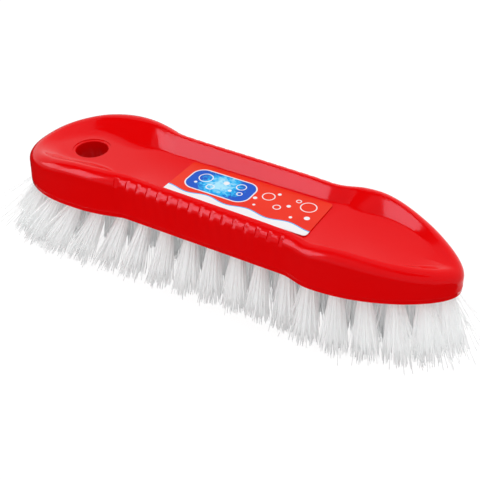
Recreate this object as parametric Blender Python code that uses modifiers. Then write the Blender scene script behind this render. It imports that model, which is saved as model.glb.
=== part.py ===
"""Hand scrub brush: a moulded grip block, a label in its dish, and bristle tufts in blind holes.

Metres, +Z up. X runs along the brush to its narrow nose, and the trimmed bristle ends lie at Z = 0.
"""

import math
import random

import bmesh
import bpy
from mathutils import Matrix, Vector

# Block, seen from above, along the outer line of its rims
BLOCK_LENGTH = 0.200
REAR_LOBE_WIDTH = 0.0558
REAR_LOBE_REACH = 0.0334
REAR_LOBE_POWER = 2.26
REAR_BLEND = 0.0321
WAIST_WIDTH = 0.0477
NOSE_LOBE_WIDTH = 0.0530
NOSE_LOBE_REACH = 0.0507
NOSE_BLEND = 0.0128
NOSE_TAPER_SHARE = 0.24

# Block, in section, with heights above its flat underside
FLOOR_HEIGHT = 0.0122
NOSE_DROP = 0.0015
NOSE_DROP_REACH = 0.034
RIM_HEIGHT = 0.0199
RIM_HEIGHT_SHARES = (
    (-1.0, 0.685),
    (-0.92, 0.76),
    (-0.8, 0.873),
    (-0.6, 1.0),
    (-0.3, 0.95),
    (0.0, 0.925),
    (0.25, 0.90),
    (0.42, 0.872),
    (0.6, 0.925),
    (0.8, 0.763),
    (0.9, 0.652),
    (1.0, 0.539),
)
RIM_ROUND = 0.0048
ROUND_LIMIT_SHARE = 0.9
RIM_WALL = 0.0055
RIM_WALL_SHARES = (
    (-1.0, 3.3),
    (-0.92, 2.45),
    (-0.84, 1.85),
    (-0.74, 1.85),
    (-0.66, 1.35),
    (-0.5, 1.05),
    (-0.38, 1.0),
    (0.5, 1.0),
    (0.7, 1.5),
    (1.0, 2.6),
)
WALL_CORNER_SHARE = 0.12
SPINE_SHARE = 0.9
SIDE_DRAFT = 0.0003
REAR_DRAFT = 0.0007
FOOT_CHAMFER = 0.0005

# Finger grooves over the outer round of both rims
GROOVE_COUNT = 16
GROOVE_PITCH = 0.0051
GROOVE_CENTRE = -0.0024
GROOVE_WIDTH = 0.0021
GROOVE_DEPTH = 0.0006
GROOVE_EDGE_SHARES = (-1.0, -0.55, 0.55, 1.0)
GROOVE_ROUND_SHARES = (0.0, 0.8, 1.0, 0.6, 0.0)

# Hang hole through the rear lobe
HANG_HOLE_SETBACK = 0.0271
HANG_HOLE_RADIUS = 0.0072
HANG_HOLE_LIP = 0.0013
HANG_HOLE_FLARE = 0.0021
HANG_HOLE_FLARE_DEPTH = 0.0013

# Label in the dish
LABEL_LENGTH = 0.067
LABEL_CENTRE = 0.0075
LABEL_MARGIN = 0.0009
LABEL_THICKNESS = 0.00025
LABEL_CORNER = 0.0015

# Bristle tufts
BRISTLE_LENGTH = 0.028
TUFT_INSET = 0.0050
TUFT_PITCH = 0.0111
TUFT_TIP_GAP = 0.0010
INNER_TUFT_PITCH = 0.0144
INNER_ROW_SHARE = 1 / 3
INNER_ROW_NOSE_GAP = 0.026
HOLE_ROOF = 0.0016
ROOT_RADIUS = 0.0021
ROOT_COLLAR = 0.0015
ANCHOR_WIDTH_SHARE = 0.92
ANCHOR_HEIGHT = 0.0018
ANCHOR_THICKNESS = 0.0005
STRANDS_IN_RING = 6
STRAND_RADIUS = 0.00046
STRAND_TAPER_SHARE = 0.2
STRAND_SEAT = 0.0005
FAN_POWER = 1.3
TIP_SCATTER = 0.0003
TUFT_LEAN = 0.0080
TUFT_LEAN_SHARES = (
    (0.0, 0.60),
    (0.12, 0.85),
    (0.25, 1.0),
    (0.38, 0.75),
    (0.5, 0.42),
    (0.7, 0.30),
    (0.85, 0.34),
    (1.0, 0.60),
)
TUFT_DRIFT = 0.0120
TUFT_DRIFT_SHARES = (
    (-1.0, -0.35),
    (-0.84, -0.75),
    (-0.65, -1.05),
    (-0.4, -0.7),
    (-0.2, -0.25),
    (0.2, 0.0),
    (0.5, 0.08),
    (0.85, 0.28),
    (1.0, 0.05),
)

# The splayed ends reach further back than forwards, so the block stands forward of the origin
BLOCK_LEAD = 0.0020

# Fits and facets
SEAT_GAP = 0.0003
CUT_OVERRUN = 0.002
MERGE_DISTANCE = 0.00001
STATION_GAP = 0.0002
OUTLINE_NUDGE_SHARE = 0.0002
PATH_STEPS = 600
LOBE_STEPS = 10
BLEND_STEPS = 4
WALL_STEPS = 5
HANG_HOLE_STEPS = 28
LIP_STEPS = 3
FLARE_POWER = 1.2
ROOT_SIDES = 7
HOLE_SIDES = 10
STRAND_SIDES = 3
CORNER_STEPS = 4
SMOOTH_ANGLE = math.radians(35)

COLOURS = {
    "block_red": ((0.780, 0.003, 0.006, 1.0), 0.20),
    "label_orange": ((0.800, 0.060, 0.010, 1.0), 0.35),
    "bristle_white": ((0.860, 0.870, 0.880, 1.0), 0.45),
}


def ease(share):
    """Rise smoothly from 0 to 1 as share goes from 0 to 1."""
    clamped = min(1.0, max(0.0, share))
    return (1 - math.cos(math.pi * clamped)) / 2


def read_shares(table, place):
    """Read a table of (place, share) pairs at a place between them, as one smooth curve."""
    last = len(table) - 1
    low = 0
    while low < last - 1 and place > table[low + 1][0]:
        low += 1
    slopes = []
    for index in (low, low + 1):
        before = table[max(0, index - 1)]
        after = table[min(last, index + 1)]
        slopes.append((after[1] - before[1]) / (after[0] - before[0]))
    (left, first), (right, second) = table[low], table[low + 1]
    span = right - left
    t = min(1.0, max(0.0, (place - left) / span))
    rise = 3 * t ** 2 - 2 * t ** 3
    lead = (t ** 3 - 2 * t ** 2 + t) * span * slopes[0]
    tail = (t ** 3 - t ** 2) * span * slopes[1]
    return first + (second - first) * rise + lead + tail


def rear_peak():
    """Where along X the rear lobe is widest."""
    return REAR_LOBE_REACH - BLOCK_LENGTH / 2


def nose_peak():
    """Where along X the nose lobe is widest."""
    return BLOCK_LENGTH / 2 - NOSE_LOBE_REACH


def half_width(x):
    """Half the block's width at x, over its rims."""
    if x <= rear_peak():
        along = min(1.0, (rear_peak() - x) / REAR_LOBE_REACH)
        return REAR_LOBE_WIDTH / 2 * (1 - along ** REAR_LOBE_POWER) ** (1 / REAR_LOBE_POWER)
    if x >= nose_peak():
        along = min(1.0, (x - nose_peak()) / NOSE_LOBE_REACH)
        return NOSE_LOBE_WIDTH / 2 * math.sqrt(1 - along ** 2) * (1 - NOSE_TAPER_SHARE * along ** 2)
    rear_swell = (REAR_LOBE_WIDTH - WAIST_WIDTH) / 2 * ease(1 - (x - rear_peak()) / REAR_BLEND)
    nose_swell = (NOSE_LOBE_WIDTH - WAIST_WIDTH) / 2 * ease(1 - (nose_peak() - x) / NOSE_BLEND)
    return WAIST_WIDTH / 2 + rear_swell + nose_swell


def side_draft(x):
    """How far the side slopes outwards from the crest's height down to the underside."""
    return SIDE_DRAFT + (REAR_DRAFT - SIDE_DRAFT) * ease(1 - (x - rear_peak()) / REAR_BLEND)


def outline_point(x, inset):
    """A point on the outline's -Y side, moved inwards by inset, and the outward direction there."""
    half = BLOCK_LENGTH / 2
    x = min(half, max(-half, x))
    if half - abs(x) <= STATION_GAP / 2:
        outward = Vector((math.copysign(1, x), 0))
    else:
        nudge = BLOCK_LENGTH * OUTLINE_NUDGE_SHARE
        outward = Vector((half_width(x - nudge) - half_width(x + nudge), -2 * nudge)).normalized()
    return Vector((x, -half_width(x))) - inset * outward, outward


def floor_height(x):
    """Height of the dish's floor, which runs out downwards at the nose."""
    run_out = (x - BLOCK_LENGTH / 2 + NOSE_DROP_REACH) / NOSE_DROP_REACH
    return FLOOR_HEIGHT - NOSE_DROP * min(1.0, max(0.0, run_out)) ** 2


def crest_height(x):
    """Height of the rim's crest, which swells over both lobes and sinks at both ends."""
    return RIM_HEIGHT * read_shares(RIM_HEIGHT_SHARES, 2 * x / BLOCK_LENGTH)


def wall_drop(down):
    """How far the dish's wall has come down: a straight slope with a soft corner at its top and foot."""
    if down > 0.5:
        return 1 - wall_drop(1 - down)
    if down < WALL_CORNER_SHARE:
        return down ** 2 / (2 * WALL_CORNER_SHARE * (1 - WALL_CORNER_SHARE))
    return (down - WALL_CORNER_SHARE / 2) / (1 - WALL_CORNER_SHARE)


def groove_centres():
    """Places along X of the finger grooves."""
    first = GROOVE_CENTRE - GROOVE_PITCH * (GROOVE_COUNT - 1) / 2
    return [first + GROOVE_PITCH * index for index in range(GROOVE_COUNT)]


def groove_depth(x):
    """How deep the finger grooves are at x."""
    reach = min(abs(x - centre) for centre in groove_centres())
    ramp = 1 - GROOVE_EDGE_SHARES[2]
    return GROOVE_DEPTH * min(1.0, max(0.0, (1 - 2 * reach / GROOVE_WIDTH) / ramp))


def block_stations():
    """Places along X where the block's section is drawn, from the rear end to the nose."""
    places = []
    for step in range(LOBE_STEPS + 1):
        turn = math.pi / 2 * step / LOBE_STEPS
        places.append(rear_peak() - REAR_LOBE_REACH * math.sin(turn))
        places.append(nose_peak() + NOSE_LOBE_REACH * math.sin(turn))
    for step in range(1, BLEND_STEPS + 1):
        places.append(rear_peak() + REAR_BLEND * step / BLEND_STEPS)
        places.append(nose_peak() - NOSE_BLEND * step / BLEND_STEPS)
    for centre in groove_centres():
        for share in GROOVE_EDGE_SHARES:
            places.append(centre + GROOVE_WIDTH / 2 * share)
    places.sort()
    stations = [places[0]]
    for place in places[1:]:
        if place - stations[-1] > STATION_GAP:
            stations.append(place)
    return stations


def block_section(x):
    """The half section at x, from the foot up the side, over the rim and down to the spine."""
    crest = crest_height(x)
    floor = floor_height(x)
    draft = side_draft(x)
    round_height = min(RIM_ROUND, ROUND_LIMIT_SHARE * (crest - FOOT_CHAMFER))
    points = []
    for inset, height in ((FOOT_CHAMFER, 0), (0, FOOT_CHAMFER)):
        place = outline_point(x, inset - draft)[0]
        points.append((place.x, place.y, height))
    depth = groove_depth(x)
    last_round = len(GROOVE_ROUND_SHARES) - 1
    for step, share in enumerate(GROOVE_ROUND_SHARES):
        turn = math.pi / 2 * step / last_round
        inset = RIM_ROUND - (RIM_ROUND - depth * share) * math.cos(turn)
        height = crest - round_height + (round_height - depth * share) * math.sin(turn)
        place = outline_point(x, inset - draft * (1 - height / crest))[0]
        points.append((place.x, place.y, height))
    crest_place = outline_point(x, RIM_ROUND)[0]
    spine_place = Vector((crest_place.x * SPINE_SHARE, 0))
    wall = RIM_WALL * read_shares(RIM_WALL_SHARES, 2 * x / BLOCK_LENGTH)
    wall_share = min(1.0, wall / (WAIST_WIDTH / 2 - RIM_ROUND))
    for step in range(1, WALL_STEPS + 1):
        down = step / WALL_STEPS
        place = crest_place.lerp(spine_place, wall_share * down)
        points.append((place.x, place.y, floor + (crest - floor) * (1 - wall_drop(down))))
    points.append((spine_place.x, 0, floor))
    return points


def make_collection(name):
    """A collection in the scene."""
    collection = bpy.data.collections.new(name)
    bpy.context.scene.collection.children.link(collection)
    return collection


def make_material(name):
    """A plain material of one of the part's colours."""
    colour, roughness = COLOURS[name]
    material = bpy.data.materials.new(name)
    material.use_nodes = True
    shader = material.node_tree.nodes["Principled BSDF"]
    shader.inputs["Base Color"].default_value = colour
    shader.inputs["Roughness"].default_value = roughness
    shader.inputs["Metallic"].default_value = 0
    material.diffuse_color = colour
    return material


def make_object(name, shape, collection, material=None):
    """Turn a bmesh into an object, shaded smooth with its sharp edges kept."""
    mesh = bpy.data.meshes.new(name)
    shape.to_mesh(mesh)
    shape.free()
    if material is None:
        display_type = "WIRE"
    else:
        display_type = "TEXTURED"
        mesh.materials.append(material)
        mesh.shade_smooth()
        mesh.set_sharp_from_angle(angle=SMOOTH_ANGLE)
    body = bpy.data.objects.new(name, mesh)
    body.display_type = display_type
    body.hide_render = material is None
    collection.objects.link(body)
    return body


def add_boolean(body, other, operation):
    """Cut a body with another, or join it to another."""
    modifier = body.modifiers.new(other.name, "BOOLEAN")
    modifier.operation = operation
    modifier.object = other
    modifier.solver = "EXACT"


def make_block_shell(parts, material):
    """Loft the block's -Y half through its sections and mirror it."""
    shape = bmesh.new()
    columns = []
    for x in block_stations():
        column = [shape.verts.new(point) for point in block_section(x)]
        columns.append(column)
    for column, ahead in zip(columns, columns[1:]):
        for low in range(len(column) - 1):
            shape.faces.new((column[low], ahead[low], ahead[low + 1], column[low + 1]))
    shape.faces.new([column[0] for column in reversed(columns)])
    block = make_object("block", shape, parts, material)
    block.location.z = BRISTLE_LENGTH
    mirror = block.modifiers.new("far_half", "MIRROR")
    mirror.use_axis = (False, True, False)
    mirror.use_clip = True
    mirror.merge_threshold = MERGE_DISTANCE
    return block


def make_hang_hole_cutter(cutters):
    """A turned cutter that flares out into the dish and rounds the hole's mouth below."""
    flare = HANG_HOLE_RADIUS + HANG_HOLE_FLARE
    profile = [(0, FLOOR_HEIGHT + CUT_OVERRUN), (flare, FLOOR_HEIGHT + CUT_OVERRUN)]
    for step in range(LIP_STEPS + 1):
        share = step / LIP_STEPS
        height = FLOOR_HEIGHT - HANG_HOLE_FLARE_DEPTH * share ** FLARE_POWER
        profile.append((flare - HANG_HOLE_FLARE * share, height))
    for step in range(LIP_STEPS + 1):
        turn = math.pi / 2 * step / LIP_STEPS
        radius = HANG_HOLE_RADIUS + HANG_HOLE_LIP * (1 - math.cos(turn))
        profile.append((radius, HANG_HOLE_LIP * (1 - math.sin(turn))))
    profile.append((HANG_HOLE_RADIUS + HANG_HOLE_LIP, -CUT_OVERRUN))
    profile.append((0, -CUT_OVERRUN))
    shape = bmesh.new()
    verts = [shape.verts.new((radius, 0, height)) for radius, height in profile]
    for upper, lower in zip(verts, verts[1:]):
        shape.edges.new((upper, lower))
    cutter = make_object("hang_hole_cutter", shape, cutters)
    cutter.location = (HANG_HOLE_SETBACK - BLOCK_LENGTH / 2, 0, BRISTLE_LENGTH)
    screw = cutter.modifiers.new("turn", "SCREW")
    screw.steps = HANG_HOLE_STEPS
    screw.render_steps = HANG_HOLE_STEPS
    screw.use_merge_vertices = True
    screw.merge_threshold = MERGE_DISTANCE
    return cutter


def hole_depth():
    """Depth of the blind tuft holes, which leave a roof even under the low nose."""
    return FLOOR_HEIGHT - NOSE_DROP - HOLE_ROOF


def tip_radius():
    """Reach of a tuft's fan at the trimmed ends, so that neighbours stay apart."""
    return TUFT_PITCH / 2 - TUFT_TIP_GAP


def tuft_lean(place, outward, share):
    """How far a tuft of the outer row leans by its trimmed end: outwards, and along the brush."""
    drift = TUFT_DRIFT * read_shares(TUFT_DRIFT_SHARES, 2 * place.x / BLOCK_LENGTH)
    return TUFT_LEAN * read_shares(TUFT_LEAN_SHARES, share) * outward + Vector((drift, 0))


def outer_tufts():
    """Names, places and leans of the tufts that follow the outline."""
    path = []
    for step in range(PATH_STEPS + 1):
        x = -BLOCK_LENGTH / 2 * math.cos(math.pi * step / PATH_STEPS)
        path.append(outline_point(x, TUFT_INSET))
    lengths = [0]
    for (start, _), (end, _) in zip(path, path[1:]):
        lengths.append(lengths[-1] + (end - start).length)
    gaps = max(1, round(lengths[-1] / TUFT_PITCH))
    tufts = []
    for index in range(gaps + 1):
        share = index / gaps
        nearest = min(range(len(path)), key=lambda step: abs(lengths[step] - lengths[-1] * share))
        place, outward = path[nearest]
        lean = tuft_lean(place, outward, share)
        if index in (0, gaps):
            name = "tuft_nose_end" if index else "tuft_rear_end"
            tufts.append((name, Vector((place.x, 0)), lean))
            continue
        for side, flip in (("near", 1), ("far", -1)):
            spot = Vector((place.x, place.y * flip))
            tufts.append((f"tuft_{side}_{index:02d}", spot, Vector((lean.x, lean.y * flip))))
    return tufts


def inner_tufts():
    """Names and places of the upright tufts in the two inner rows."""
    hole_edge = HANG_HOLE_SETBACK - BLOCK_LENGTH / 2 + HANG_HOLE_RADIUS + HANG_HOLE_LIP
    start = hole_edge + tip_radius() + TUFT_TIP_GAP
    end = BLOCK_LENGTH / 2 - INNER_ROW_NOSE_GAP
    row = (WAIST_WIDTH / 2 - TUFT_INSET) * INNER_ROW_SHARE
    gaps = max(1, round((end - start) / INNER_TUFT_PITCH))
    tufts = []
    for index in range(gaps + 1):
        x = start + (end - start) * index / gaps
        for side, flip in (("near", -1), ("far", 1)):
            name = f"tuft_inner_{side}_{index + 1:02d}"
            tufts.append((name, Vector((x, row * flip)), Vector((0, 0))))
    return tufts


def shear_outwards(shape, verts, lean):
    """Tilt a tuft's shape along its local +X, as far as the whole tuft leans."""
    for vert in verts:
        vert.co.x -= vert.co.z * lean / BRISTLE_LENGTH


def add_strand(shape, spot, turn, lean):
    """Add one strand from the root to the trimmed end, bent outwards on a leaning tuft's outer side."""
    made = bmesh.ops.create_cone(
        shape,
        cap_ends=True,
        segments=STRAND_SIDES,
        radius1=STRAND_RADIUS * (1 - STRAND_TAPER_SHARE),
        radius2=STRAND_RADIUS,
        depth=1,
        matrix=Matrix.Rotation(turn, 4, "Z"),
    )
    verts = list(made["verts"])
    root, tip = spot
    if lean and root.x > 0:
        loose = verts + list({edge for vert in verts for edge in vert.link_edges})
        loose += list({face for vert in verts for face in vert.link_faces})
        cut = bmesh.ops.bisect_plane(shape, geom=loose, plane_co=(0, 0, 0), plane_no=(0, 0, 1))
        verts += [item for item in cut["geom_cut"] if isinstance(item, bmesh.types.BMVert)]
    root_height = STRAND_SEAT - ROOT_COLLAR
    for vert in verts:
        share = 0.5 - vert.co.z
        centre = root.lerp(tip, share ** FAN_POWER)
        height = root_height - (root_height + BRISTLE_LENGTH) * share
        vert.co = Vector((centre.x + vert.co.x, centre.y + vert.co.y, height))
    shear_outwards(shape, verts, lean)


def make_tuft(tuft, seed, parts, cutters, material):
    """A folded root that fills its hole, with its wire anchor on top and its strands below."""
    name, place, tilt = tuft
    lean = tilt.length
    anchor_top = hole_depth() - SEAT_GAP
    root_top = anchor_top - ANCHOR_HEIGHT / 2
    shape = bmesh.new()
    centre = Matrix.Translation((0, 0, (root_top - ROOT_COLLAR) / 2))
    root = bmesh.ops.create_cone(
        shape,
        cap_ends=True,
        segments=ROOT_SIDES,
        radius1=ROOT_RADIUS,
        radius2=ROOT_RADIUS,
        depth=root_top + ROOT_COLLAR,
        matrix=centre,
    )
    shear_outwards(shape, root["verts"], lean)
    body = make_object(name, shape, parts, material)

    chance = random.Random(seed)
    strands = bmesh.new()
    root_reach = ROOT_RADIUS * math.cos(math.pi / ROOT_SIDES) - STRAND_RADIUS - SEAT_GAP / 2
    tip_reach = tip_radius() - STRAND_RADIUS - TIP_SCATTER
    spots = [(Vector((0, 0)), Vector((0, 0)))]
    for index in range(STRANDS_IN_RING):
        turn = 2 * math.pi * (index + 0.5) / STRANDS_IN_RING
        ray = Vector((math.cos(turn), math.sin(turn)))
        spots.append((ray * root_reach, ray * tip_reach))
    for root_spot, tip_spot in spots:
        scatter = Vector((chance.uniform(-1, 1), chance.uniform(-1, 1))) * TIP_SCATTER / math.sqrt(2)
        add_strand(strands, (root_spot, tip_spot + scatter), chance.uniform(0, math.pi), lean)
    anchor_width = 2 * ROOT_RADIUS * math.cos(math.pi / ROOT_SIDES) * ANCHOR_WIDTH_SHARE
    anchor_size = (anchor_width, ANCHOR_THICKNESS, ANCHOR_HEIGHT, 1)
    lift = Matrix.Translation((0, 0, anchor_top - ANCHOR_HEIGHT / 2))
    anchor = bmesh.ops.create_cube(strands, size=1, matrix=lift @ Matrix.Diagonal(anchor_size))
    shear_outwards(strands, anchor["verts"], lean)
    joined = make_object(name + "_strands", strands, cutters)
    add_boolean(body, joined, "UNION")

    for item in (body, joined):
        item.location = (place.x, place.y, BRISTLE_LENGTH)
        item.rotation_euler.z = math.atan2(tilt.y, tilt.x)


def make_tuft_hole_cutter(tufts, cutters):
    """One cutter for all the blind tuft holes, each as wide as its root and its clearance."""
    radius = (ROOT_RADIUS + SEAT_GAP) / math.cos(math.pi / HOLE_SIDES)
    depth = hole_depth() + CUT_OVERRUN
    shape = bmesh.new()
    for _, place, tilt in tufts:
        centre = Matrix.Translation((0, 0, hole_depth() - depth / 2))
        hole = bmesh.ops.create_cone(
            shape,
            cap_ends=True,
            segments=HOLE_SIDES,
            radius1=radius,
            radius2=radius,
            depth=depth,
            matrix=centre,
        )
        shear_outwards(shape, hole["verts"], tilt.length)
        turn = Matrix.Rotation(math.atan2(tilt.y, tilt.x), 4, "Z")
        move = Matrix.Translation((place.x, place.y, BRISTLE_LENGTH))
        bmesh.ops.transform(shape, matrix=move @ turn, verts=hole["verts"])
    return make_object("tuft_hole_cutter", shape, cutters)


def make_label(parts, material):
    """A thin sheet with rounded corners, lying in the dish between the feet of its walls."""
    width = WAIST_WIDTH - 2 * (RIM_ROUND + RIM_WALL + LABEL_MARGIN)
    shape = bmesh.new()
    sheet = Matrix.Diagonal((LABEL_LENGTH, width, LABEL_THICKNESS, 1))
    bmesh.ops.create_cube(shape, size=1, matrix=sheet)
    upright = [edge for edge in shape.edges if edge.verts[0].co.xy == edge.verts[1].co.xy]
    bmesh.ops.bevel(
        shape,
        geom=upright,
        offset=LABEL_CORNER,
        segments=CORNER_STEPS,
        profile=0.5,
        affect="EDGES",
    )
    label = make_object("label", shape, parts, material)
    seat = BRISTLE_LENGTH + FLOOR_HEIGHT + SEAT_GAP
    label.location = (LABEL_CENTRE, 0, seat + LABEL_THICKNESS / 2)


def main():
    """Build the brush."""
    for old in list(bpy.data.objects):
        bpy.data.objects.remove(old, do_unlink=True)
    parts = make_collection("scrub_brush")
    cutters = make_collection("cutters_and_guides")
    materials = {name: make_material(name) for name in COLOURS}
    origin = bpy.data.objects.new("brush_origin", None)
    origin.location.x = BLOCK_LEAD
    bpy.context.scene.collection.objects.link(origin)

    tufts = outer_tufts() + inner_tufts()
    block = make_block_shell(parts, materials["block_red"])
    add_boolean(block, make_hang_hole_cutter(cutters), "DIFFERENCE")
    add_boolean(block, make_tuft_hole_cutter(tufts, cutters), "DIFFERENCE")
    make_label(parts, materials["label_orange"])
    for seed, tuft in enumerate(tufts):
        make_tuft(tuft, seed, parts, cutters, materials["bristle_white"])
    for item in list(parts.objects) + list(cutters.objects):
        item.parent = origin


main()
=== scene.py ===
import math
import random

import bmesh
import bpy
from mathutils import Matrix, Vector


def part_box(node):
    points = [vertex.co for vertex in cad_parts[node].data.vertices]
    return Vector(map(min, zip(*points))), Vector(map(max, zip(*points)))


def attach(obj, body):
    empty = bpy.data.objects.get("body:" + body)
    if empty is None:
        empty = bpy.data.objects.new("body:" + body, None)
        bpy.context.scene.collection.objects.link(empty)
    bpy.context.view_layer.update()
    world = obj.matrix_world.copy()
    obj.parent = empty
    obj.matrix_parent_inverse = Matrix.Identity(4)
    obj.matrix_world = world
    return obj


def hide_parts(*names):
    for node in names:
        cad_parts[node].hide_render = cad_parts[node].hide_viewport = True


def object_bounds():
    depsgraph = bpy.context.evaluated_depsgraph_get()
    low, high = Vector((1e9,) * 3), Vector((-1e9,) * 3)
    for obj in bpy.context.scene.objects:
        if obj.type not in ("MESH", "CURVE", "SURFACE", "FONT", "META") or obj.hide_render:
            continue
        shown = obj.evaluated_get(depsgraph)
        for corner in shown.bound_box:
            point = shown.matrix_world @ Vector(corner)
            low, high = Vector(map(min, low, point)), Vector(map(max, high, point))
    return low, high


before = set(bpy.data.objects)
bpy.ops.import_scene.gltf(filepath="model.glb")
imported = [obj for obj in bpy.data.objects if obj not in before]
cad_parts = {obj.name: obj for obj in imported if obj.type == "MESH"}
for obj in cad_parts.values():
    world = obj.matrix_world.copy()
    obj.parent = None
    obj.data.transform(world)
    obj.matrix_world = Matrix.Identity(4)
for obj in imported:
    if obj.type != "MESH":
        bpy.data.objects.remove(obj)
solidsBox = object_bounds()  # the solids' own box, before anything is dressed

# Photographer's stand: azimuth turns about the brush, elevation is above the table
cameraStand = {
    "place": (0.152362, -0.247129, 0.228102),
    "azimuth": 30.565,
    "elevation": 36.276,
    "roll": -0.226,
    "lens": 62.27,
    "sensor": 36.0,
    "clip": (0.01, 20.0),
}


def standCamera():
    camera = bpy.data.cameras.new("studioCamera")
    camera.lens = cameraStand["lens"]
    camera.sensor_width = cameraStand["sensor"]
    camera.clip_start, camera.clip_end = cameraStand["clip"]
    holder = bpy.data.objects.new("studioCamera", camera)
    holder.location = cameraStand["place"]
    turn = Matrix.Rotation(math.radians(cameraStand["azimuth"]), 3, "Z")
    tilt = Matrix.Rotation(math.radians(90 - cameraStand["elevation"]), 3, "X")
    roll = Matrix.Rotation(math.radians(cameraStand["roll"]), 3, "Z")
    holder.rotation_euler = (turn @ tilt @ roll).to_euler()
    bpy.context.scene.collection.objects.link(holder)
    bpy.context.scene.camera = holder


standCamera()
print("camera stands at the photograph's angle")

# Lamps: sizes and places in metres, glow is the face's brightness next to a white wall
studioLamps = {
    "keyBox": {"place": (-0.20, -0.85, 0.22), "size": (0.80, 0.36), "glow": 1.45, "sheen": False},
    "backBox": {"place": (0.25, 0.95, 0.24), "size": (1.00, 0.40), "glow": 2.2, "sheen": False},
    "topBox": {"place": (0.05, 0.10, 1.00), "size": (1.30, 1.00), "glow": 2.15, "sheen": False},
    "shineBox": {"place": (-0.449, -0.575, 0.52), "size": (0.47, 0.54), "glow": 9.0, "sheen": True},
    "sideBox": {"place": (-0.731, -0.295, 0.358), "size": (0.36, 0.30), "glow": 5.6, "sheen": True},
}
# The sky and the table: glow and shade light the brush, white, lift and thin are what the lens sees
studioSky = {"glow": 0.50, "white": 1.0}
studioTable = {"size": 8.0, "shade": 0.84, "lift": 0.84, "thin": 0.20}
cardBlack = {"colour": (0.02, 0.02, 0.02), "roughness": 0.9, "specular": 0.0}
darkCards = {  # seen by reflections alone: they keep the white room off the crests and the side walls
    "overheadCard": {"middle": (-0.20, -0.09, 0.64), "size": (1.70, 0.30)},
    "frontCard": {"middle": (-0.150, -0.5125, 0.0006), "size": (1.50, 1.065)},
    "rearCard": {"middle": (-0.525, 0.230, 0.0006), "size": (0.80, 0.55)},
}


def hangLamp(name, lamp):
    light = bpy.data.lights.new(name, "AREA")
    light.shape = "RECTANGLE"
    light.size, light.size_y = lamp["size"]
    light.energy = lamp["glow"] * math.pi * lamp["size"][0] * lamp["size"][1]
    holder = bpy.data.objects.new(name, light)
    holder.visible_diffuse = not lamp["sheen"]  # a sheen lamp only draws the streaks on the gloss
    holder.visible_transmission = not lamp["sheen"]
    holder.visible_glossy = lamp["sheen"]
    holder.visible_camera = False
    holder.location = lamp["place"]
    target = Vector((0, 0, solidsBox[1].z / 2))
    holder.rotation_euler = (target - Vector(lamp["place"])).to_track_quat("-Z", "Y").to_euler()
    bpy.context.scene.collection.objects.link(holder)


def lightRays(nodes, links):
    path = nodes.new("ShaderNodeLightPath")  # 1 for rays that should meet the white background
    first = nodes.new("ShaderNodeMath")
    first.operation = "MAXIMUM"
    links.new(path.outputs["Is Camera Ray"], first.inputs[0])
    links.new(path.outputs["Is Glossy Ray"], first.inputs[1])
    second = nodes.new("ShaderNodeMath")
    second.operation = "MAXIMUM"
    links.new(first.outputs[0], second.inputs[0])
    links.new(path.outputs["Is Transmission Ray"], second.inputs[1])
    return second.outputs[0]


def paintSky():
    world = bpy.data.worlds.new("studioSky")
    world.use_nodes = True
    nodes, links = world.node_tree.nodes, world.node_tree.links
    nodes.clear()
    lighting = nodes.new("ShaderNodeBackground")
    lighting.inputs["Color"].default_value = (1, 1, 1, 1)
    lighting.inputs["Strength"].default_value = studioSky["glow"]
    shown = nodes.new("ShaderNodeBackground")
    shown.inputs["Color"].default_value = (1, 1, 1, 1)
    shown.inputs["Strength"].default_value = studioSky["white"]
    choose = nodes.new("ShaderNodeMixShader")
    output = nodes.new("ShaderNodeOutputWorld")
    links.new(lightRays(nodes, links), choose.inputs[0])
    links.new(lighting.outputs[0], choose.inputs[1])
    links.new(shown.outputs[0], choose.inputs[2])
    links.new(choose.outputs[0], output.inputs["Surface"])
    bpy.context.scene.world = world


def layTable():
    bpy.ops.mesh.primitive_plane_add(size=studioTable["size"])
    table = bpy.context.object
    table.name = "studioTable"
    material = bpy.data.materials.new("tablePaper")
    material.use_nodes = True
    nodes, links = material.node_tree.nodes, material.node_tree.links
    nodes.clear()
    paper = nodes.new("ShaderNodeBsdfDiffuse")
    shade = studioTable["shade"]
    paper.inputs["Color"].default_value = (shade, shade, shade, 1)
    thin = nodes.new("ShaderNodeBsdfDiffuse")  # keeps the brush's shadow on the white
    rest = studioTable["thin"]
    thin.inputs["Color"].default_value = (rest, rest, rest, 1)
    glow = nodes.new("ShaderNodeEmission")
    glow.inputs["Strength"].default_value = studioTable["lift"]
    shown = nodes.new("ShaderNodeAddShader")
    choose = nodes.new("ShaderNodeMixShader")
    output = nodes.new("ShaderNodeOutputMaterial")
    links.new(thin.outputs[0], shown.inputs[0])
    links.new(glow.outputs[0], shown.inputs[1])
    links.new(lightRays(nodes, links), choose.inputs[0])
    links.new(paper.outputs[0], choose.inputs[1])
    links.new(shown.outputs[0], choose.inputs[2])
    links.new(choose.outputs[0], output.inputs["Surface"])
    table.data.materials.append(material)


def setCard(name, card, material):
    bpy.ops.mesh.primitive_plane_add(size=1.0, location=card["middle"])
    sheet = bpy.context.object
    sheet.name = name
    sheet.scale = (*card["size"], 1)
    sheet.visible_camera = False
    sheet.visible_diffuse = False
    sheet.visible_transmission = False
    sheet.visible_shadow = False
    sheet.data.materials.append(material)


def newMaterial(name, colour, roughness, specular):
    material = bpy.data.materials.new(name)
    material.use_nodes = True
    shader = material.node_tree.nodes["Principled BSDF"]
    shader.inputs["Base Color"].default_value = (*colour, 1)
    shader.inputs["Roughness"].default_value = roughness
    shader.inputs["Specular IOR Level"].default_value = specular
    return material, material.node_tree.nodes, material.node_tree.links, shader


def setCards():
    black = cardBlack
    material = newMaterial("cardBlack", black["colour"], black["roughness"], black["specular"])[0]
    for name, card in darkCards.items():
        setCard(name, card, material)


for lampName, lampValues in studioLamps.items():
    hangLamp(lampName, lampValues)
paintSky()
layTable()
setCards()
print("studio is lit")


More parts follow.
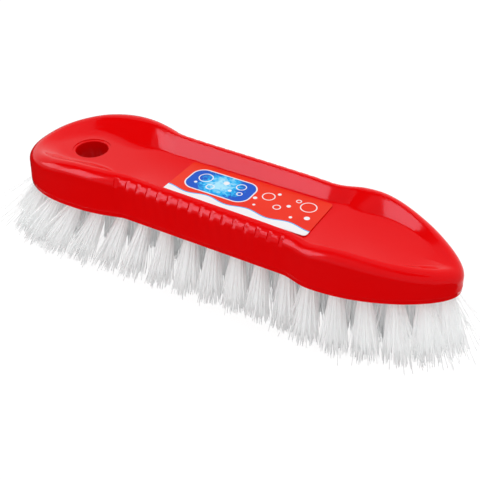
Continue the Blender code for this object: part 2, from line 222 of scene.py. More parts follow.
# Moulded plastic of the grip block
redPlastic = {
    "colour": (0.700, 0.0004, 0.0007),
    "colourWorn": (0.685, 0.0006, 0.0011),
    "roughness": (0.09, 0.14),
    "specular": 0.130,
    "specularTint": (1.0, 0.80, 1.0, 1),
    "cloudScale": 28.0,
    "cloudDetail": 3,
    "cloudRange": (0.3, 0.7),
    "grainScale": 900.0,
    "grainDetail": 2,
    "grainDepth": 0.00001,
    "grainStrength": 0.35,
}


def mixRedPlastic():
    values = redPlastic
    material, nodes, links, shader = newMaterial(
        "redPlastic", values["colour"], values["roughness"][0], values["specular"]
    )
    shader.inputs["Specular Tint"].default_value = values["specularTint"]
    place = nodes.new("ShaderNodeTexCoord")
    cloud = nodes.new("ShaderNodeTexNoise")  # faint flow marks of the moulding
    cloud.inputs["Scale"].default_value = values["cloudScale"]
    cloud.inputs["Detail"].default_value = values["cloudDetail"]
    links.new(place.outputs["Object"], cloud.inputs["Vector"])
    tone = nodes.new("ShaderNodeMix")
    tone.data_type = "RGBA"
    tone.inputs["A"].default_value = (*values["colour"], 1)
    tone.inputs["B"].default_value = (*values["colourWorn"], 1)
    links.new(cloud.outputs["Fac"], tone.inputs["Factor"])
    links.new(tone.outputs["Result"], shader.inputs["Base Color"])
    sheen = nodes.new("ShaderNodeMapRange")
    sheen.inputs["From Min"].default_value, sheen.inputs["From Max"].default_value = values["cloudRange"]
    sheen.inputs["To Min"].default_value, sheen.inputs["To Max"].default_value = values["roughness"]
    links.new(cloud.outputs["Fac"], sheen.inputs["Value"])
    links.new(sheen.outputs["Result"], shader.inputs["Roughness"])
    grain = nodes.new("ShaderNodeTexNoise")
    grain.inputs["Scale"].default_value = values["grainScale"]
    grain.inputs["Detail"].default_value = values["grainDetail"]
    links.new(place.outputs["Object"], grain.inputs["Vector"])
    bump = nodes.new("ShaderNodeBump")
    bump.inputs["Distance"].default_value = values["grainDepth"]
    bump.inputs["Strength"].default_value = values["grainStrength"]
    links.new(grain.outputs["Fac"], bump.inputs["Height"])
    links.new(bump.outputs["Normal"], shader.inputs["Normal"])
    return material


# Grip block: widths across, reaches along it, heights above its underside. A table of shares runs
# from its rear end at -1 to its nose at 1
blockLow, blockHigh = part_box("block")
gripBlock = {
    "rearDraft": 0.0007,
    "sideDraft": 0.0003,
    "underside": blockLow.z,
    "rearWidth": 0.0558,
    "rearReach": 0.0334,
    "rearPower": 2.26,
    "rearBlend": 0.0290,
    "rearBlendPowers": (2.84, 1.45),
    "waistWidth": 0.0477,
    "noseWidth": 0.0530,
    "noseReach": 0.0507,
    "noseBlend": 0.0128,
    "noseTaperShare": 0.24,
    "floorHeight": 0.0122,
    "noseDrop": 0.0015,
    "noseDropReach": 0.034,
    "rimHeight": blockHigh.z - blockLow.z,
    "rimHeightShares": (
        (-1.0, 0.685), (-0.92, 0.76), (-0.8, 0.873), (-0.6, 1.0), (-0.3, 0.95), (0.0, 0.925),
        (0.25, 0.90), (0.42, 0.872), (0.6, 0.925), (0.8, 0.763), (0.9, 0.652), (1.0, 0.539),
    ),
    "rimRound": 0.0048,
    "roundLimitShare": 0.9,
    "rimWall": 0.0055,
    "rimWallShares": (
        (-1.0, 3.3), (-0.92, 2.45), (-0.84, 1.9), (-0.74, 2.05), (-0.66, 2.25), (-0.58, 2.15),
        (-0.52, 1.75), (-0.46, 1.3), (-0.4, 1.05), (-0.34, 1.0), (0.44, 1.0), (0.5, 1.3), (0.56, 1.3),
        (0.64, 0.95), (0.78, 0.8), (0.9, 1.2), (1.0, 1.8),
    ),
    "wallCornerShare": 0.12,
    "wallFootShares": ((-1.0, 0.5), (-0.74, 0.42), (-0.62, 0.34), (-0.5, 0.16), (-0.4, 0.12), (0.5, 0.12),
                       (0.8, 0.18), (1.0, 0.5)),
    "spineShare": 0.9,
    "footChamfer": 0.0005,
    "partLine": 0.0024,
    "partBead": 0.00006,
    "partBeadShare": 1.5,
    "grooves": 16,
    "groovePitch": 0.0051,
    "grooveCentre": -0.0024,
    "grooveWidth": 0.0020,
    "grooveDepth": 0.0005,
    "grooveRampShare": 0.26,
    "grooveRoundShares": ((0.0, 0.0), (0.2, 0.85), (0.4, 1.0), (0.6, 0.3), (0.8, 0.0), (1.0, 0.0)),
    "lobeSteps": 44,
    "waistStep": 0.0011,
    "grooveSteps": 8,
    "roundSteps": 14,
    "wallSteps": 16,
    "leastStep": 0.00009,
    "nudge": 0.00004,
    "weld": 0.00001,
    "smoothAngle": 40.0,
}
gripBlock["length"] = blockHigh.x - blockLow.x - gripBlock["rearDraft"] - gripBlock["sideDraft"]
gripBlock["lead"] = blockLow.x + gripBlock["rearDraft"] + gripBlock["length"] / 2
hangHole = {
    "setback": 0.0271, "radius": 0.0073, "lip": 0.0013, "lipSteps": 8, "ring": 0.0013,
    "ringDepth": 0.00035, "bead": 0.0004, "steps": 72, "overrun": 0.002, "weld": 0.000001,
}
tuftHoles = {"radius": 0.00245, "depth": 0.0091, "sides": 20, "overrun": 0.002}


def ease(share):
    clamped = min(1.0, max(0.0, share))
    return (1 - math.cos(math.pi * clamped)) / 2


def readShares(table, place):
    last = len(table) - 1
    low = 0
    while low < last - 1 and place > table[low + 1][0]:
        low += 1
    slopes = []
    for index in (low, low + 1):
        before, after = table[max(0, index - 1)], table[min(last, index + 1)]
        slopes.append((after[1] - before[1]) / (after[0] - before[0]))
    (left, first), (right, second) = table[low], table[low + 1]
    span = right - left
    along = min(1.0, max(0.0, (place - left) / span))
    blend = 3 * along ** 2 - 2 * along ** 3
    lead = (along ** 3 - 2 * along ** 2 + along) * span * slopes[0]
    tail = (along ** 3 - along ** 2) * span * slopes[1]
    return first + (second - first) * blend + lead + tail


def rearPeak():
    return gripBlock["rearReach"] - gripBlock["length"] / 2


def nosePeak():
    return gripBlock["length"] / 2 - gripBlock["noseReach"]


def gripHalfWidth(x):
    grip = gripBlock
    if x <= rearPeak():
        along = min(1.0, (rearPeak() - x) / grip["rearReach"])
        return grip["rearWidth"] / 2 * (1 - along ** grip["rearPower"]) ** (1 / grip["rearPower"])
    if x >= nosePeak():
        along = min(1.0, (x - nosePeak()) / grip["noseReach"])
        taper = 1 - grip["noseTaperShare"] * along ** 2
        return grip["noseWidth"] / 2 * math.sqrt(1 - along ** 2) * taper
    along = min(1.0, (x - rearPeak()) / grip["rearBlend"])
    first, second = grip["rearBlendPowers"]
    rearSwell = (grip["rearWidth"] - grip["waistWidth"]) / 2 * (1 - along ** first) ** second
    noseShare = ease(1 - (nosePeak() - x) / grip["noseBlend"])
    noseSwell = (grip["noseWidth"] - grip["waistWidth"]) / 2 * noseShare
    return grip["waistWidth"] / 2 + rearSwell + noseSwell


def gripDraft(x):
    grip = gripBlock
    rearShare = ease(1 - (x - rearPeak()) / grip["rearBlend"])
    return grip["sideDraft"] + (grip["rearDraft"] - grip["sideDraft"]) * rearShare


def gripOutline(x, inset):
    half = gripBlock["length"] / 2
    x = min(half, max(-half, x))
    if half - abs(x) <= gripBlock["weld"]:
        outward = Vector((math.copysign(1, x), 0))
    else:
        nudge = gripBlock["nudge"]
        outward = Vector((gripHalfWidth(x - nudge) - gripHalfWidth(x + nudge), -2 * nudge)).normalized()
    return Vector((x, -gripHalfWidth(x))) - inset * outward


def dishFloor(x):
    grip = gripBlock
    runOut = (x - grip["length"] / 2 + grip["noseDropReach"]) / grip["noseDropReach"]
    return grip["floorHeight"] - grip["noseDrop"] * min(1.0, max(0.0, runOut)) ** 2


def rimCrest(x):
    return gripBlock["rimHeight"] * readShares(gripBlock["rimHeightShares"], 2 * x / gripBlock["length"])


def grooveCentres():
    grip = gripBlock
    first = grip["grooveCentre"] - grip["groovePitch"] * (grip["grooves"] - 1) / 2
    return [first + grip["groovePitch"] * index for index in range(grip["grooves"])]


def fingerGroove(x):
    grip = gripBlock
    reach = 2 * min(abs(x - centre) for centre in grooveCentres()) / grip["grooveWidth"]
    return grip["grooveDepth"] * ease((1 - reach) / grip["grooveRampShare"])


def gripStations():
    grip = gripBlock
    places = []
    for step in range(grip["lobeSteps"] + 1):
        turn = math.pi / 2 * step / grip["lobeSteps"]
        places.append(rearPeak() - grip["rearReach"] * math.sin(turn))
        places.append(nosePeak() + grip["noseReach"] * math.sin(turn))
    steps = round((nosePeak() - rearPeak()) / grip["waistStep"])
    places += [rearPeak() + (nosePeak() - rearPeak()) * step / steps for step in range(steps + 1)]
    for centre in grooveCentres():
        for step in range(grip["grooveSteps"] + 1):
            places.append(centre + grip["grooveWidth"] * (step / grip["grooveSteps"] - 0.5))
    places.sort()
    stations = [places[0]]
    for place in places[1:]:
        if place - stations[-1] > grip["leastStep"]:
            stations.append(place)
    stations[-1] = places[-1]  # the nose end closes on the mirror's plane
    return stations


def wallDrop(down, footCorner):
    top = gripBlock["wallCornerShare"]  # a straight slope with a soft corner at its crest and foot
    slope = 1 / (1 - top / 2 - footCorner / 2)
    if down < top:
        return slope * down ** 2 / (2 * top)
    if down > 1 - footCorner:
        return 1 - slope * (1 - down) ** 2 / (2 * footCorner)
    return slope * (down - top / 2)


def gripSection(x):
    grip = gripBlock
    crest, floor, draft = rimCrest(x), dishFloor(x), gripDraft(x)
    roundHeight = min(grip["rimRound"], grip["roundLimitShare"] * (crest - grip["footChamfer"]))
    points = []
    line, bead = grip["partLine"], grip["partBead"]  # the mould's parting shows as a thin bead
    spread = grip["partBeadShare"] * bead
    foot = [(grip["footChamfer"], 0), (0, grip["footChamfer"]), (0, line - spread), (-bead, line)]
    foot.append((0, line + spread))
    for inset, height in foot:
        spot = gripOutline(x, inset - draft * (1 - height / crest))
        points.append((spot.x, spot.y, height))
    groove = fingerGroove(x)
    for step in range(grip["roundSteps"] + 1):
        share = step / grip["roundSteps"]
        turn = math.pi / 2 * share
        depth = groove * readShares(grip["grooveRoundShares"], share)
        inset = grip["rimRound"] - (grip["rimRound"] - depth) * math.cos(turn)
        height = crest - roundHeight + (roundHeight - depth) * math.sin(turn)
        spot = gripOutline(x, inset - draft * (1 - height / crest))
        points.append((spot.x, spot.y, height))
    crestSpot = gripOutline(x, grip["rimRound"])
    spine = Vector((crestSpot.x * grip["spineShare"], 0))
    wall = grip["rimWall"] * readShares(grip["rimWallShares"], 2 * x / grip["length"])
    wallShare = min(1.0, wall / (grip["waistWidth"] / 2 - grip["rimRound"]))
    footCorner = readShares(grip["wallFootShares"], 2 * x / grip["length"])
    for step in range(1, grip["wallSteps"] + 1):
        down = step / grip["wallSteps"]
        spot = crestSpot.lerp(spine, wallShare * down)
        points.append((spot.x, spot.y, floor + (crest - floor) * (1 - wallDrop(down, footCorner))))
    points.append((spine.x, 0, floor))
    return points


def wireCutter(name, shape):
    mesh = bpy.data.meshes.new(name)
    shape.to_mesh(mesh)
    shape.free()
    cutter = bpy.data.objects.new(name, mesh)
    cutter.hide_render = True
    bpy.context.scene.collection.objects.link(cutter)
    return cutter


def cutHangHole():
    grip, hole = gripBlock, hangHole
    mouth, overrun = hole["radius"] + hole["ring"], hole["overrun"]
    profile = [(0, grip["floorHeight"] + overrun), (mouth, grip["floorHeight"] + overrun)]
    ringFloor = grip["floorHeight"] - hole["ringDepth"]  # a shallow ring, then a small round
    profile.append((mouth, ringFloor))
    turns = [math.pi / 2 * step / hole["lipSteps"] for step in range(hole["lipSteps"] + 1)]
    for turn in turns:
        height = ringFloor - hole["bead"] * (1 - math.cos(turn))
        profile.append((hole["radius"] + hole["bead"] * (1 - math.sin(turn)), height))
    for turn in turns:
        height = hole["lip"] * (1 - math.sin(turn))
        profile.append((hole["radius"] + hole["lip"] * (1 - math.cos(turn)), height))
    profile += [(hole["radius"] + hole["lip"], -overrun), (0, -overrun)]
    shape = bmesh.new()
    verts = [shape.verts.new((radius, 0, height)) for radius, height in profile]
    for upper, lower in zip(verts, verts[1:]):
        shape.edges.new((upper, lower))
    bmesh.ops.spin(
        shape, geom=shape.verts[:] + shape.edges[:], axis=(0, 0, 1), cent=(0, 0, 0),
        angle=2 * math.pi, steps=hole["steps"], use_merge=True,
    )
    bmesh.ops.remove_doubles(shape, verts=shape.verts, dist=hole["weld"])
    bmesh.ops.recalc_face_normals(shape, faces=shape.faces)
    cutter = wireCutter("hangHoleCutter", shape)
    cutter.location = (grip["lead"] + hole["setback"] - grip["length"] / 2, 0, grip["underside"])
    return cutter


def cutTuftHoles(tufts):
    holes = tuftHoles
    depth = holes["depth"] + holes["overrun"]
    middle = Matrix.Translation((0, 0, holes["depth"] - depth / 2))
    shape = bmesh.new()
    for mouth, slope, _ in tufts:
        made = bmesh.ops.create_cone(
            shape, cap_ends=True, segments=holes["sides"], radius1=holes["radius"],
            radius2=holes["radius"], depth=depth, matrix=middle,
        )
        for vert in made["verts"]:
            vert.co.x -= vert.co.z * slope.x
            vert.co.y -= vert.co.z * slope.y
        bmesh.ops.translate(shape, verts=made["verts"], vec=mouth)
    return wireCutter("tuftHoleCutter", shape)


def bakeModifiers(piece, smoothAngle):
    depsgraph = bpy.context.evaluated_depsgraph_get()
    mesh = bpy.data.meshes.new_from_object(piece.evaluated_get(depsgraph))
    piece.modifiers.clear()
    piece.data = mesh
    mesh.shade_smooth()
    mesh.set_sharp_from_angle(angle=math.radians(smoothAngle))


def mouldGripBlock(tufts, material):
    shape = bmesh.new()
    columns = [[shape.verts.new(point) for point in gripSection(x)] for x in gripStations()]
    for column, ahead in zip(columns, columns[1:]):
        for low in range(len(column) - 1):
            shape.faces.new((column[low], ahead[low], ahead[low + 1], column[low + 1]))
    shape.faces.new([column[0] for column in reversed(columns)])
    mesh = bpy.data.meshes.new("gripBlock")
    shape.to_mesh(mesh)
    shape.free()
    block = bpy.data.objects.new("gripBlock", mesh)
    block.location = (gripBlock["lead"], 0, gripBlock["underside"])
    bpy.context.scene.collection.objects.link(block)
    mirror = block.modifiers.new("farHalf", "MIRROR")
    mirror.use_axis = (False, True, False)
    mirror.use_clip = True
    mirror.merge_threshold = gripBlock["weld"]
    cutters = [cutHangHole(), cutTuftHoles(tufts)]
    for cutter in cutters:
        cut = block.modifiers.new(cutter.name, "BOOLEAN")
        cut.operation = "DIFFERENCE"
        cut.object = cutter
        cut.solver = "EXACT"
    mesh.materials.append(material)
    bakeModifiers(block, gripBlock["smoothAngle"])
    for cutter in cutters:
        bpy.data.objects.remove(cutter, do_unlink=True)
    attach(block, "root")
    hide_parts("block")
    return block


# Tufts that the solids leave out, where the outer row hides them in part. Turns are in degrees round
# the hang hole, and a lean is how far a tuft drifts along the brush for each metre down
extraTufts = {
    "holeTurns": (90, -90, 140, -140),
    "holeReaches": (0.0135, 0.0135, 0.0145, 0.0145),
    "holeLean": -0.25,
    "fills": ((0.0845, 0.0, 0.20), (-0.0640, -0.0135, -0.25), (-0.0640, 0.0135, -0.25)),
}
endSlice = 0.001  # vertices this near to an end of a solid tuft belong to that end


# Where each tuft leaves the underside, and its drift for each metre down, read from its solid
def readTufts():
    tufts = []
    underside = gripBlock["underside"]
    for name, node in sorted(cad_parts.items()):
        if not name.startswith("tuft_"):
            continue
        points = [vert.co for vert in node.data.vertices]
        tips = [point for point in points if point.z < endSlice]
        roots = [point for point in points if point.z > underside + endSlice]
        tip = sum(tips, Vector()) / len(tips)
        root = sum(roots, Vector()) / len(roots)
        slope = (tip - root) / (root.z - tip.z)
        mouth = root + slope * (root.z - underside)
        tufts.append((mouth, Vector((slope.x, slope.y)), name))
    return tufts


# A row down the middle, each tuft between four of the inner rows
def middleTufts(tufts):
    near = [mouth for mouth, _, name in tufts if name.startswith("tuft_inner_near")]
    near.sort(key=lambda mouth: mouth.x)
    row = []
    for index, (mouth, ahead) in enumerate(zip(near, near[1:])):
        spot = Vector(((mouth.x + ahead.x) / 2, 0, mouth.z))
        row.append((spot, Vector((0, 0)), "tuft_middle_%02d" % (index + 1)))
    return row


# Tufts round the hang hole, between it and the outer row
def holeTufts():
    hole = gripBlock["lead"] + hangHole["setback"] - gripBlock["length"] / 2
    lean = Vector((extraTufts["holeLean"], 0))
    ring = []
    for index, (turn, reach) in enumerate(zip(extraTufts["holeTurns"], extraTufts["holeReaches"])):
        angle = math.radians(turn)
        spot = Vector((hole + reach * math.cos(angle), reach * math.sin(angle), gripBlock["underside"]))
        ring.append((spot, lean, "tuft_hole_%02d" % (index + 1)))
    return ring


# Tufts where the rows leave a wide gap: one in the nose, two before the hang hole
def fillTufts():
    row = []
    for index, (x, y, lean) in enumerate(extraTufts["fills"]):
        spot = Vector((x, y, gripBlock["underside"]))
        row.append((spot, Vector((lean, 0)), "tuft_fill_%02d" % (index + 1)))
    return row


tufts = readTufts()
tufts += middleTufts(tufts) + holeTufts() + fillTufts()
block = mouldGripBlock(tufts, mixRedPlastic())
print("grip block is moulded", len(block.data.polygons))

# Bristles: for each hole a dense core, and round it a bundle of thick locks and fine filaments
bristleWhite = {
    "colour": (0.972, 0.983, 0.985),
    "colourDull": (0.938, 0.950, 0.952),
    "roughness": 0.36,
    "specular": 1.0,
    # painted shade: the inner rows' white is darkened by this factor, for the shade they lie in among the
    # other tufts
    "innerPaintedShade": 0.88,
    "letThrough": 0.32,
    "streakScale": (2600.0, 2600.0, 90.0),
    "streakDetail": 2,
    "streakDepth": 0.00010,
    "streakStrength": 0.8,
}
tuftBundle = {
    "rootRadius": 0.0020,
    "tipRadius": 0.0057,
    "length": 0.0290,
    "lengthScatter": 0.0045,
    "bendPower": 1.15,
    "bendShare": 0.6,
    "leastFall": 0.01,
    "reachWeight": 0.8,
    "turnScatter": 0.3,
    "seat": 0.003,
    "coreShare": 0.62,
    "coreSides": 26,
    "coreRings": 10,
    "coreLength": (0.70, 0.90),
    "coreHollow": 0.9,
    "coreFlute": 0.10,
    "locks": 30,
    "lockRadius": 0.00056,
    "lockSides": 6,
    "lockRings": 8,
    "lockRootShare": 0.8,
    "lockTipShares": (0.72, 0.98),
    "lockShort": 0.0010,
    "lockFullness": (0.8, 1.2),
    "lockSwell": {"root": 0.7, "belly": 0.5, "turn": 1.15, "taper": 4, "tip": 0.5},
    "filaments": 120,
    "radius": 0.000125,
    "sides": 3,
    "rings": 6,
    "clumpScatter": 0.0006,
    "tipScatter": 0.0007,
    "strayShare": 0.10,
    "strayReach": 0.0050,
    "innerRows": ("tuft_inner", "tuft_middle", "tuft_hole", "tuft_fill"),
    "firstSeed": 11,
    "endZone": 0.078,
    "endFan": 3,
    "endStrayShare": 0.10,
    "endStrayReach": (0.003, 0.011),
}


def mixBristle(name, shade):
    values = bristleWhite
    material, nodes, links, shader = newMaterial(
        name, values["colour"], values["roughness"], values["specular"]
    )
    part = nodes.new("ShaderNodeNewGeometry")
    # the shade factor scales the whole white; below 1 it is painted shade
    tone = nodes.new("ShaderNodeMix")
    tone.data_type = "RGBA"
    tone.inputs["A"].default_value = (*(shade * channel for channel in values["colour"]), 1)
    tone.inputs["B"].default_value = (*(shade * channel for channel in values["colourDull"]), 1)
    links.new(part.outputs["Random Per Island"], tone.inputs["Factor"])
    links.new(tone.outputs["Result"], shader.inputs["Base Color"])
    place = nodes.new("ShaderNodeTexCoord")
    stretch = nodes.new("ShaderNodeMapping")  # fine streaks that run down the bundle
    stretch.inputs["Scale"].default_value = values["streakScale"]
    links.new(place.outputs["Object"], stretch.inputs["Vector"])
    streak = nodes.new("ShaderNodeTexNoise")
    streak.inputs["Scale"].default_value = 1.0
    streak.inputs["Detail"].default_value = values["streakDetail"]
    links.new(stretch.outputs["Vector"], streak.inputs["Vector"])
    bump = nodes.new("ShaderNodeBump")
    bump.inputs["Distance"].default_value = values["streakDepth"]
    bump.inputs["Strength"].default_value = values["streakStrength"]
    links.new(streak.outputs["Fac"], bump.inputs["Height"])
    links.new(bump.outputs["Normal"], shader.inputs["Normal"])
    through = nodes.new("ShaderNodeBsdfTranslucent")
    links.new(tone.outputs["Result"], through.inputs["Color"])
    blend = nodes.new("ShaderNodeMixShader")
    blend.inputs[0].default_value = values["letThrough"]
    output = nodes["Material Output"]
    links.new(shader.outputs[0], blend.inputs[1])
    links.new(through.outputs[0], blend.inputs[2])
    links.new(blend.outputs[0], output.inputs["Surface"])
    return material


def strandPath(root, tip, lift, length, rings):
    bend = tuftBundle["bendShare"]
    points = []
    for ring in range(rings):
        share = ring / (rings - 1)
        centre = root.lerp(tip, share ** tuftBundle["bendPower"] * bend + share * (1 - bend))
        points.append(Vector((centre.x, centre.y, lift - (lift + length) * share)))
    return points


def addStrand(verts, faces, points, radii, sides, turn):
    start = len(verts)
    for point, radius in zip(points, radii):
        for side in range(sides):
            angle = turn + 2 * math.pi * side / sides
            verts.append((point.x + radius * math.cos(angle), point.y + radius * math.sin(angle), point.z))
    for ring in range(len(points) - 1):
        for side in range(sides):
            low = start + ring * sides
            ahead = (side + 1) % sides
            faces.append((low + side, low + sides + side, low + sides + ahead, low + ahead))
    faces.append(tuple(start + side for side in range(sides)))
    last = start + (len(points) - 1) * sides
    faces.append(tuple(last + side for side in reversed(range(sides))))


goldenAngle = math.pi * (3 - math.sqrt(5))


def spreadSpots(count, reach, chance):
    scatter = tuftBundle["turnScatter"]
    spots = []
    for index in range(count):
        away = reach * math.sqrt((index + 0.5) / count)
        turn = index * goldenAngle + chance.uniform(-scatter, scatter)
        spots.append(Vector((math.cos(turn), math.sin(turn))) * away)
    return spots


def scatterSpot(reach, chance):
    return Vector((chance.gauss(0, reach), chance.gauss(0, reach)))


def strandFall(root, tip, length, height):
    sideways = (tip - root).length ** 2 * tuftBundle["reachWeight"]
    return min(height, math.sqrt(max(tuftBundle["leastFall"] ** 2, length ** 2 - sideways)))


def addCore(verts, faces, slope, chance):
    bundle = tuftBundle
    start, sides, rings = len(verts), bundle["coreSides"], bundle["coreRings"]
    flutes = [chance.uniform(-1, 1) for side in range(sides)]
    lengths = [chance.uniform(*bundle["coreLength"]) for side in range(sides)]
    flare = bundle["tipRadius"] - bundle["rootRadius"]
    for ring in range(rings):
        share = ring / (rings - 1)
        for side in range(sides):
            down = share * lengths[side]
            reach = bundle["rootRadius"] + flare * down ** bundle["bendPower"]
            reach *= bundle["coreShare"] * (1 + bundle["coreFlute"] * flutes[side] * down)
            angle = 2 * math.pi * side / sides
            height = bundle["seat"] - (bundle["seat"] + bundle["length"]) * down
            lean = slope * -height
            verts.append((lean.x + reach * math.cos(angle), lean.y + reach * math.sin(angle), height))
    for ring in range(rings - 1):
        for side in range(sides):
            low, ahead = start + ring * sides, (side + 1) % sides
            faces.append((low + side, low + sides + side, low + sides + ahead, low + ahead))
    faces.append(tuple(start + side for side in range(sides)))
    middle = len(verts)
    height = -bundle["length"] * bundle["coreLength"][0] * bundle["coreHollow"]
    verts.append((slope.x * -height, slope.y * -height, height))
    last = start + (rings - 1) * sides
    for side in range(sides):
        faces.append((last + (side + 1) % sides, last + side, middle))


def lockSwell(share):
    swell = tuftBundle["lockSwell"]
    belly = math.sin(math.pi * min(1.0, share * swell["turn"]))
    return (swell["root"] + swell["belly"] * belly) * (1 - share ** swell["taper"])


def addLocks(verts, faces, mouth, slope, chance):
    bundle = tuftBundle
    scatter = bundle["turnScatter"]
    for index in range(bundle["locks"]):
        turn = 2 * math.pi * (index + chance.uniform(-scatter, scatter)) / bundle["locks"]
        ray = Vector((math.cos(turn), math.sin(turn)))
        root = ray * bundle["rootRadius"] * bundle["lockRootShare"]
        tip = ray * bundle["tipRadius"] * chance.uniform(*bundle["lockTipShares"])
        tip += scatterSpot(bundle["clumpScatter"], chance) + slope * mouth.z
        length = bundle["length"] - bundle["lockShort"] - chance.random() ** 2 * bundle["lengthScatter"]
        fall = strandFall(root, tip, length, mouth.z - bundle["radius"])
        path = strandPath(root - slope * bundle["seat"], tip, bundle["seat"], fall, bundle["lockRings"])
        fullness = chance.uniform(*bundle["lockFullness"])
        lastRadius = bundle["radius"] * bundle["lockSwell"]["tip"]
        radii = []
        for ring in range(bundle["lockRings"]):
            swell = lockSwell(ring / (bundle["lockRings"] - 1))
            radii.append(bundle["lockRadius"] * fullness * swell + lastRadius)
        addStrand(verts, faces, path, radii, bundle["lockSides"], chance.uniform(0, math.pi))


def addFilaments(verts, faces, mouth, slope, chance):
    bundle = tuftBundle
    for spot in spreadSpots(bundle["filaments"], 1.0, chance):
        root = spot * bundle["rootRadius"]
        tip = spot * bundle["tipRadius"] + scatterSpot(bundle["tipScatter"], chance)
        if chance.random() < bundle["strayShare"]:
            tip += scatterSpot(bundle["strayReach"] / 2, chance)
        if abs(mouth.x) > bundle["endZone"] and chance.random() < bundle["endStrayShare"]:
            sideways = bundle["endFan"] * mouth.y / bundle["endZone"]
            outward = Vector((math.copysign(1, mouth.x), sideways)).normalized()
            tip += outward * chance.uniform(*bundle["endStrayReach"])
        tip += slope * mouth.z
        length = bundle["length"] - chance.random() ** 2 * bundle["lengthScatter"]
        fall = strandFall(root, tip, length, mouth.z - bundle["radius"])
        path = strandPath(root - slope * bundle["seat"], tip, bundle["seat"], fall, bundle["rings"])
        radii = [bundle["radius"]] * bundle["rings"]
        addStrand(verts, faces, path, radii, bundle["sides"], chance.uniform(0, math.pi))


# Light soaks through loose white filaments, so nothing tied here throws a hard shadow. A piece that
# shades still dims the light that its neighbours pass on
def tieBundle(name, verts, faces, mouth, material, shades):
    mesh = bpy.data.meshes.new(name)
    mesh.from_pydata(verts, [], faces)
    mesh.materials.append(material)
    mesh.shade_smooth()
    bundle = bpy.data.objects.new(name, mesh)
    bundle.location = mouth
    bpy.context.scene.collection.objects.link(bundle)
    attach(bundle, "root")
    bundle.visible_shadow = False
    bundle.visible_diffuse = shades
    return bundle


def bindTuft(tuft, chance, material, inner):
    mouth, slope, name = tuft
    verts, faces = [], []
    addCore(verts, faces, slope, chance)
    tieBundle(name.replace("tuft", "core"), verts, faces, mouth, material, True)
    verts, faces = [], []
    addLocks(verts, faces, mouth, slope, chance)
    addFilaments(verts, faces, mouth, slope, chance)
    bundle = tieBundle(name.replace("tuft", "bundle"), verts, faces, mouth, material, inner)
    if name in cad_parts:
        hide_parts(name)


# The outer rows take the plain white; the inner rows take a copy darkened as painted shade, for the shade
# they lie in among the other tufts
outerBristle = mixBristle("bristleWhite", 1.0)
paintedShadeBristle = mixBristle("bristleInnerPaintedShade", bristleWhite["innerPaintedShade"])
for index, tuft in enumerate(tufts):
    inner = tuft[2].startswith(tuftBundle["innerRows"])
    chance = random.Random(tuftBundle["firstSeed"] + index)
    bindTuft(tuft, chance, paintedShadeBristle if inner else outerBristle, inner)
print("tufts are bound", len(tufts))

# Printed film in the dish: a plain splash pattern. Its layout is in millimetres from the film's
# middle, and its noise scales are per millimetre
labelLow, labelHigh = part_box("label")
labelFilm = {
    "ground": (0.785, 0.034, 0.004),
    "groundDeep": (0.680, 0.011, 0.004),
    "white": (0.76, 0.77, 0.79),
    "blue": (0.002, 0.075, 0.500),
    "cyan": (0.010, 0.420, 0.800),
    "sky": (0.350, 0.700, 0.860),
    "roughness": 0.26,
    "specular": 0.16,
    "edge": 0.10,
    "toneScale": 0.05,
    "pond": {"middle": (-13.5, 2.0), "half": (15.0, 7.4), "round": 5.0, "border": 0.55},
    "ripple": {"scale": 0.35, "detail": 3, "twist": 1.2, "share": 0.85},
    "depths": ((0.55, "sky"), (0.80, "cyan"), (1.0, "blue")),
    "wave": {"height": -8.6, "swing": 0.9, "length": 19.0, "line": 0.5},
    "rings": ((-22.0, 4.0, 3.0), (-16.8, -1.2, 1.7), (-5.2, 5.0, 2.1), (-3.4, 0.2, 1.1), (8.0, 4.6, 2.6),
              (14.5, -0.6, 1.5), (25.8, 5.6, 3.3), (20.4, 7.6, 1.0)),
    "drops": ((-12.2, 4.6, 1.3), (-8.2, 0.4, 0.8), (-24.2, -0.8, 0.7), (3.6, 1.0, 0.9), (11.2, 8.2, 0.8),
              (18.4, 2.4, 0.9), (28.6, -1.6, 1.2), (5.6, -3.6, 0.6), (22.6, -4.2, 0.7)),
    "ringWidth": 0.42,
    "fibre": {"scale": 0.6, "depth": 0.00006, "strength": 0.4},
}
toMillimetres = 1000


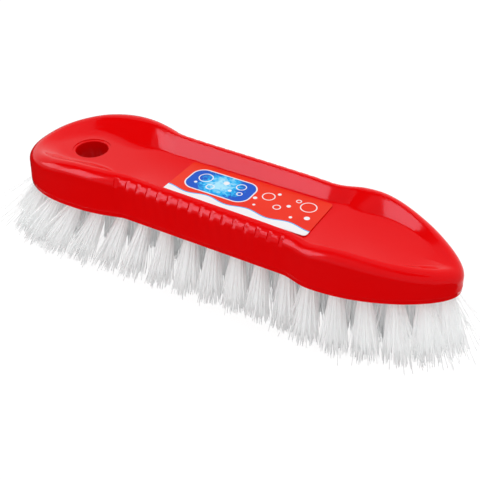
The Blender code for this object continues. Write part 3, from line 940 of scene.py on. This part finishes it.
class Printer:
    def __init__(self, material):
        self.nodes, self.links = material.node_tree.nodes, material.node_tree.links
        place = self.nodes.new("ShaderNodeTexCoord")
        shift = self.nodes.new("ShaderNodeMapping")
        middle = (labelLow + labelHigh) / 2
        shift.inputs["Location"].default_value = (-middle.x * toMillimetres, -middle.y * toMillimetres, 0)
        shift.inputs["Scale"].default_value = (toMillimetres, toMillimetres, 0)
        self.links.new(place.outputs["Object"], shift.inputs["Vector"])
        self.spot = shift.outputs["Vector"]
        axes = self.nodes.new("ShaderNodeSeparateXYZ")
        self.links.new(self.spot, axes.inputs[0])
        self.x, self.y = axes.outputs["X"], axes.outputs["Y"]

    def sum(self, operation, first, second=0.0, third=0.0):
        node = self.nodes.new("ShaderNodeMath")
        node.operation = operation
        for slot, value in zip(node.inputs, (first, second, third)):
            if isinstance(value, (int, float)):
                slot.default_value = value
            else:
                self.links.new(value, slot)
        return node.outputs[0]

    def inside(self, distance):
        fade = self.nodes.new("ShaderNodeMapRange")  # 1 inside a shape, with a soft printed edge
        fade.inputs["From Min"].default_value = labelFilm["edge"]
        fade.inputs["From Max"].default_value = -labelFilm["edge"]
        self.links.new(distance, fade.inputs["Value"])
        return fade.outputs["Result"]

    def away(self, middle):
        reach = self.nodes.new("ShaderNodeVectorMath")
        reach.operation = "DISTANCE"
        reach.inputs[1].default_value = (*middle, 0)
        self.links.new(self.spot, reach.inputs[0])
        return reach.outputs["Value"]

    def panel(self, middle, half, rounding):
        sides = []
        for axis, centre, reach in ((self.x, middle[0], half[0]), (self.y, middle[1], half[1])):
            out = self.sum("ABSOLUTE", self.sum("SUBTRACT", axis, centre))
            sides.append(self.sum("MAXIMUM", self.sum("SUBTRACT", out, reach - rounding), 0.0))
        square = self.sum("MULTIPLY", sides[1], sides[1])
        corner = self.sum("SQRT", self.sum("MULTIPLY_ADD", sides[0], sides[0], square))
        return self.sum("SUBTRACT", corner, rounding)

    def paint(self, under, colour, mask):
        layer = self.nodes.new("ShaderNodeMix")
        layer.data_type = "RGBA"
        for slot, value in (("Factor", mask), ("A", under), ("B", colour)):
            if isinstance(value, tuple):
                layer.inputs[slot].default_value = (*value, 1)
            else:
                self.links.new(value, layer.inputs[slot])
        return layer.outputs["Result"]


def paintPond(ink):
    film = labelFilm
    pond, ripple = film["pond"], film["ripple"]
    noise = ink.nodes.new("ShaderNodeTexNoise")
    noise.inputs["Scale"].default_value = ripple["scale"]
    noise.inputs["Detail"].default_value = ripple["detail"]
    noise.inputs["Distortion"].default_value = ripple["twist"]
    ink.links.new(ink.spot, noise.inputs["Vector"])
    depth = ink.sum("MULTIPLY_ADD", ink.away(pond["middle"]), 1 / pond["half"][0], noise.outputs["Fac"])
    water = ink.nodes.new("ShaderNodeValToRGB")  # pale in the middle and deep at the shore
    stops = water.color_ramp.elements
    (first, shallow), (second, mid), (last, deep) = film["depths"]
    stops[0].position = first
    stops[0].color = (*film[shallow], 1)
    stops[1].position = last
    stops[1].color = (*film[deep], 1)
    stops.new(second).color = (*film[mid], 1)
    ink.links.new(ink.sum("MULTIPLY", depth, ripple["share"]), water.inputs["Fac"])
    return water.outputs["Color"]


def printLabel():
    film = labelFilm
    material, nodes, links, shader = newMaterial(
        "labelFilm", film["ground"], film["roughness"], film["specular"]
    )
    ink = Printer(material)
    band = nodes.new("ShaderNodeTexNoise")  # slow change of the ground's tone
    band.inputs["Scale"].default_value = film["toneScale"]
    links.new(ink.spot, band.inputs["Vector"])
    colour = ink.paint(film["ground"], film["groundDeep"], band.outputs["Fac"])
    pond = film["pond"]
    shore = ink.panel(pond["middle"], pond["half"], pond["round"])
    colour = ink.paint(colour, film["white"], ink.inside(ink.sum("SUBTRACT", shore, pond["border"])))
    colour = ink.paint(colour, paintPond(ink), ink.inside(shore))
    wave = film["wave"]
    swing = ink.sum("SINE", ink.sum("MULTIPLY", ink.x, 2 * math.pi / wave["length"]))
    crest = ink.sum("MULTIPLY_ADD", swing, wave["swing"], wave["height"])
    above = ink.sum("SUBTRACT", ink.y, crest)
    colour = ink.paint(colour, film["cyan"], ink.inside(ink.sum("SUBTRACT", above, wave["line"])))
    colour = ink.paint(colour, film["white"], ink.inside(above))
    for x, y, reach in film["rings"]:
        rim = ink.sum("ABSOLUTE", ink.sum("SUBTRACT", ink.away((x, y)), reach))
        line = ink.inside(ink.sum("SUBTRACT", rim, film["ringWidth"] / 2))
        colour = ink.paint(colour, film["white"], line)
    for x, y, reach in film["drops"]:
        drop = ink.inside(ink.sum("SUBTRACT", ink.away((x, y)), reach))
        colour = ink.paint(colour, film["white"], drop)
    links.new(colour, shader.inputs["Base Color"])
    fibre = nodes.new("ShaderNodeTexNoise")
    fibre.inputs["Scale"].default_value = film["fibre"]["scale"]
    links.new(ink.spot, fibre.inputs["Vector"])
    bump = nodes.new("ShaderNodeBump")  # the film lies a little unevenly
    bump.inputs["Distance"].default_value = film["fibre"]["depth"]
    bump.inputs["Strength"].default_value = film["fibre"]["strength"]
    links.new(fibre.outputs["Fac"], bump.inputs["Height"])
    links.new(bump.outputs["Normal"], shader.inputs["Normal"])
    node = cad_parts["label"]
    node.data.materials.clear()
    node.data.materials.append(material)


printLabel()
print("label is printed")

bpy.context.scene.view_settings.view_transform = "Standard"
